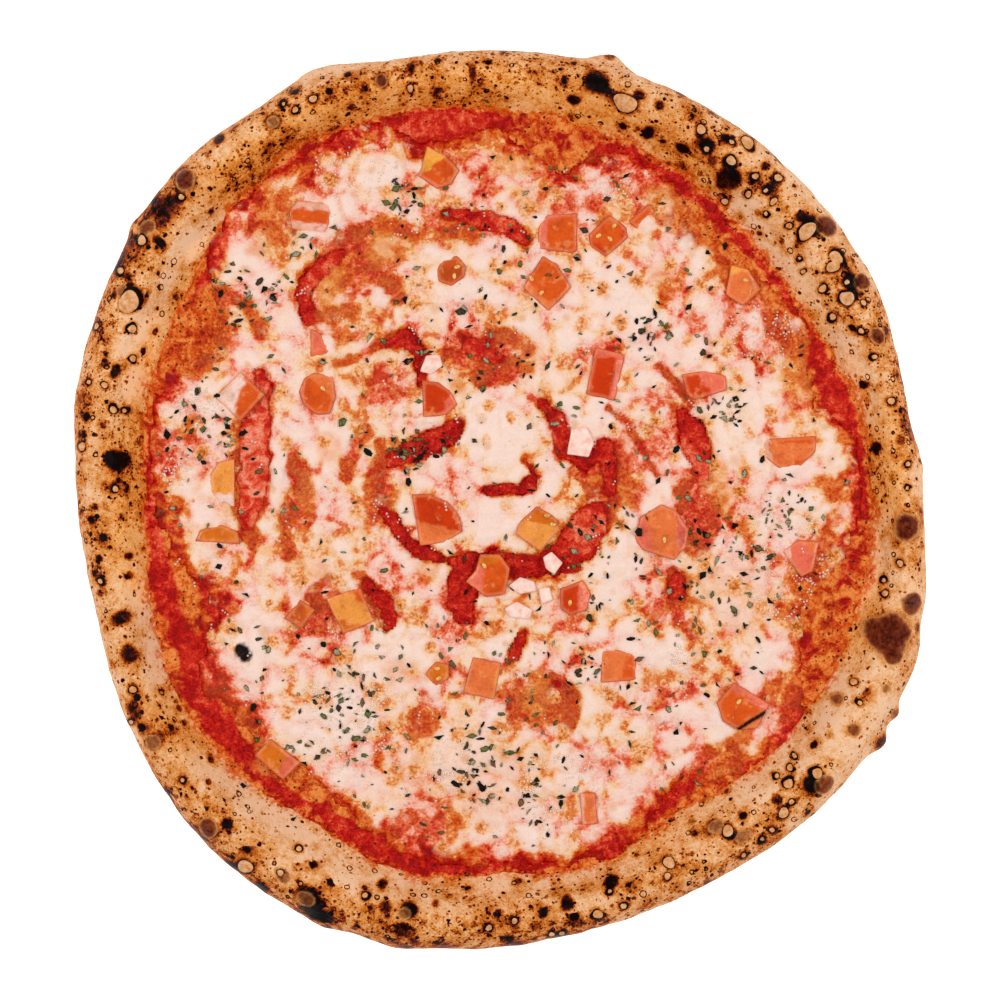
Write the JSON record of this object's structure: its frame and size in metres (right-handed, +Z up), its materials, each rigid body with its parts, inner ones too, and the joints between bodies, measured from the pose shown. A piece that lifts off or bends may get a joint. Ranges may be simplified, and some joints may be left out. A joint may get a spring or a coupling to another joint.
{
  "type": "margherita pizza",
  "caption": "Round whole pizza with a puffed charred rim, tomato sauce, melted cheese, diced tomato and dried herbs.",
  "frame": {"origin": "middle of the flat underside, at the centre of the outline's bounding box", "axes": "+Z up through the toppings, +Y along the longest diameter, +X to the right of it seen from above"},
  "size_m": [0.2987, 0.315, 0.0216],
  "materials": {
    "baked_crust": "matt baked dough, tan with dark char spots",
    "tomato_sauce": "wet deep red sauce",
    "melted_cheese": "melted cream cheese with golden spots, slightly greasy",
    "diced_tomato": "wet cooked tomato flesh",
    "cheese_crumb": "soft unmelted white cheese"
  },
  "bodies": {
    "root": {"crust": "baked_crust", "sauce": "tomato_sauce", "cheese": "melted_cheese", "tomato_01": "diced_tomato", "tomato_02": "diced_tomato", "tomato_03": "diced_tomato", "tomato_04": "diced_tomato", "tomato_05": "diced_tomato", "tomato_06": "diced_tomato", "tomato_07": "diced_tomato", "tomato_08": "diced_tomato", "tomato_09": "diced_tomato", "tomato_10": "diced_tomato", "tomato_11": "diced_tomato", "tomato_12": "diced_tomato", "tomato_13": "diced_tomato", "tomato_14": "diced_tomato", "tomato_15": "diced_tomato", "tomato_16": "diced_tomato", "tomato_17": "diced_tomato", "tomato_18": "diced_tomato", "tomato_19": "diced_tomato", "tomato_20": "diced_tomato", "tomato_21": "diced_tomato", "tomato_22": "diced_tomato", "tomato_23": "diced_tomato", "tomato_24": "diced_tomato", "tomato_25": "diced_tomato", "tomato_26": "diced_tomato", "tomato_27": "diced_tomato", "tomato_28": "diced_tomato", "tomato_29": "diced_tomato", "tomato_30": "diced_tomato", "tomato_31": "diced_tomato", "cheese_lump_1": "cheese_crumb", "cheese_lump_2": "cheese_crumb", "cheese_lump_3": "cheese_crumb", "cheese_lump_4": "cheese_crumb", "cheese_lump_5": "cheese_crumb", "cheese_lump_6": "cheese_crumb"}
  },
  "joints": []
}
